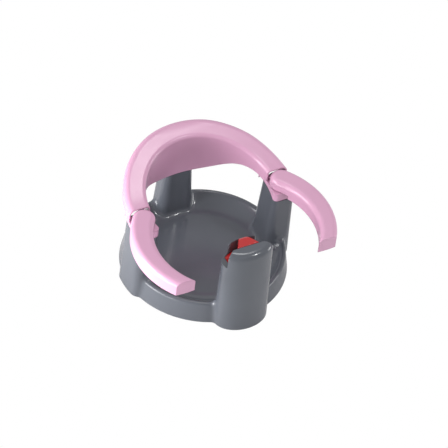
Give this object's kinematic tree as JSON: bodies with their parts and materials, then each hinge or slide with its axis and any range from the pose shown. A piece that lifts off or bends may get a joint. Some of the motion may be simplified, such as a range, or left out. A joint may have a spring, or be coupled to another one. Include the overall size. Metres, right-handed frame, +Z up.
{
  "type": "baby bath seat",
  "caption": "Baby bath seat: dished base on suction cups, tall curved backrest, two swinging arms that close the ring, and a push-button latch in the front post.",
  "frame": {"origin": "middle of the overall box at the floor, with the suction cups' lips at z = 0 and both arms swung open", "axes": "+Z up; the seat faces -Y, so the front post is at -Y and the backrest at +Y; +X points to the right as seen from the front post"},
  "size_m": [0.385, 0.352, 0.2245],
  "materials": {
    "grey_plastic": "glossy moulded polypropylene",
    "pink_plastic": "glossy moulded polypropylene",
    "red_plastic": "glossy moulded acetal",
    "pale_plastic": "plain moulded acetal",
    "pin_steel": "turned stainless steel",
    "screw_steel": "stainless screws",
    "spring_steel": "spring wire",
    "cup_rubber": "soft translucent grey rubber"
  },
  "bodies": {
    "seat": {"seat_base": "grey_plastic", "backrest": "pink_plastic", "right_back_cover": "pink_plastic", "left_back_cover": "pink_plastic", "backrest_screws": "screw_steel", "right_hinge_pin": "pin_steel", "left_hinge_pin": "pin_steel", "latch_carrier": "pale_plastic", "latch_screws": "screw_steel", "latch_spring": "spring_steel", "suction_cup_front_left": "cup_rubber", "suction_cup_front_right": "cup_rubber", "suction_cup_rear_left": "cup_rubber", "suction_cup_rear_right": "cup_rubber"},
    "right_arm_body": {"right_arm": "pink_plastic", "right_arm_cover": "pink_plastic", "right_hinge_bush": "pale_plastic", "right_cover_screws": "screw_steel"},
    "left_arm_body": {"left_arm": "pink_plastic", "left_arm_cover": "pink_plastic", "left_hinge_bush": "pale_plastic", "left_cover_screws": "screw_steel"},
    "button": {"latch_button": "red_plastic"}
  },
  "joints": [
    {"name": "right_arm_swing", "type": "hinge", "parent": "seat", "child": "right_arm_body", "pos_m": [0.14223, 0.0023, 0.17], "axis": [0, 0, 1], "range_deg": [-42, 0]},
    {"name": "left_arm_swing", "type": "hinge", "parent": "seat", "child": "left_arm_body", "pos_m": [-0.14223, 0.0023, 0.17], "axis": [0, 0, 1], "range_deg": [0, 42]},
    {"name": "latch_button_press", "type": "slide", "parent": "seat", "child": "button", "axis": [0, 0, -1], "range_m": [0, 0.006], "stiffness_N_per_m": 500, "springref_m": -0.004, "deforming": ["latch_spring"]}
  ]
}
